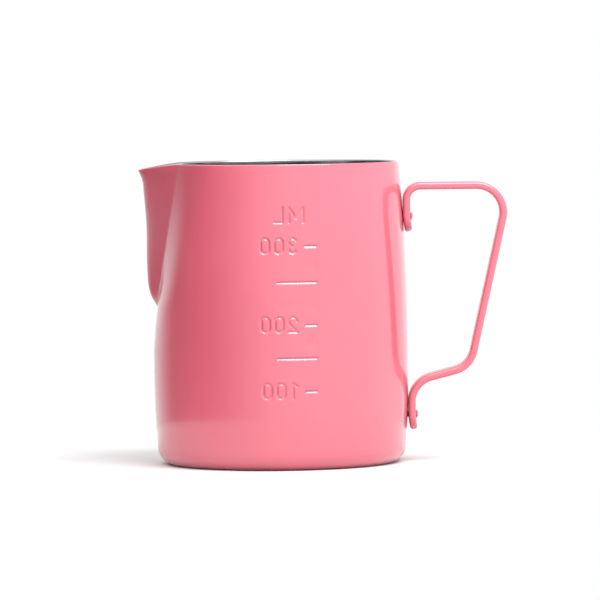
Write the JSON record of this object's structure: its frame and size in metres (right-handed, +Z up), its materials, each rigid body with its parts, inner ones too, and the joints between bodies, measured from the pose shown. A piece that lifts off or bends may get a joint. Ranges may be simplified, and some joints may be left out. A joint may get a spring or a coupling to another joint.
{
  "type": "milk frothing pitcher",
  "caption": "Straight-sided steel milk pitcher with a pressed pouring spout, a volume scale pressed in its wall and a riveted open strap handle.",
  "frame": {"origin": "centre of the flat base, on the axis of the round body, where it rests", "axes": "+Z up out of the mouth, +X towards the handle, -X towards the spout, the volume scale faces -Y"},
  "size_m": [0.1155, 0.08, 0.0944],
  "materials": {
    "pink_coat": "gloss pink coating on stainless steel",
    "bare_steel": "bare satin steel on the inside of the cup"
  },
  "bodies": {
    "root": {"pitcher_body": "pink_coat", "handle": "pink_coat", "upper_rivet": "pink_coat", "lower_rivet": "pink_coat"}
  },
  "joints": []
}
